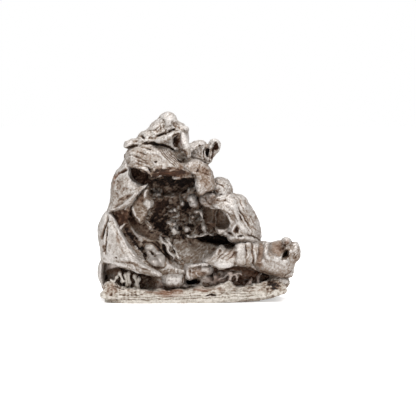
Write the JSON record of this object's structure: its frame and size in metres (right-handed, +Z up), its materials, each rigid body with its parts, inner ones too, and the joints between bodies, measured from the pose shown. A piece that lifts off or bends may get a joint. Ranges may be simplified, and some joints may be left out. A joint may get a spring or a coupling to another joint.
{
  "type": "meteorite specimen",
  "caption": "Free-standing iron meteorite with a big hollow in its front, coarse grains parted by fissures, and a flat underside to rest on.",
  "frame": {"origin": "on the surface that the specimen stands on, under the middle of its bounding box", "axes": "+Z up, +X to the right, the long way, and -Y out of the big hollow"},
  "size_m": [0.061, 0.0322, 0.0569],
  "materials": {
    "pale_iron": "satin, pale weathered nickel-iron with brown oxide in its hollows",
    "grey_iron": "satin, grey weathered nickel-iron, finely ribbed",
    "brown_oxide": "matte, brown-black oxide over iron, with metal glints on its ridges",
    "cream_crust": "matte, cream-grey weathered iron with rust stains"
  },
  "bodies": {
    "root": {"base_plate": "cream_crust", "cave_ribs": "cream_crust", "core_mass": "brown_oxide", "cavity_flap": "brown_oxide", "cavity_nodule": "grey_iron", "hanging_lobe": "grey_iron", "ridge_knob": "grey_iron", "ribbed_shell": "grey_iron", "scroll_arm": "grey_iron", "fan_fold": "grey_iron", "lower_ledge": "grey_iron", "left_flank": "pale_iron", "left_cheek": "pale_iron", "brow_plate": "pale_iron", "crown_lobe": "pale_iron", "hook_spur": "pale_iron"}
  },
  "joints": []
}
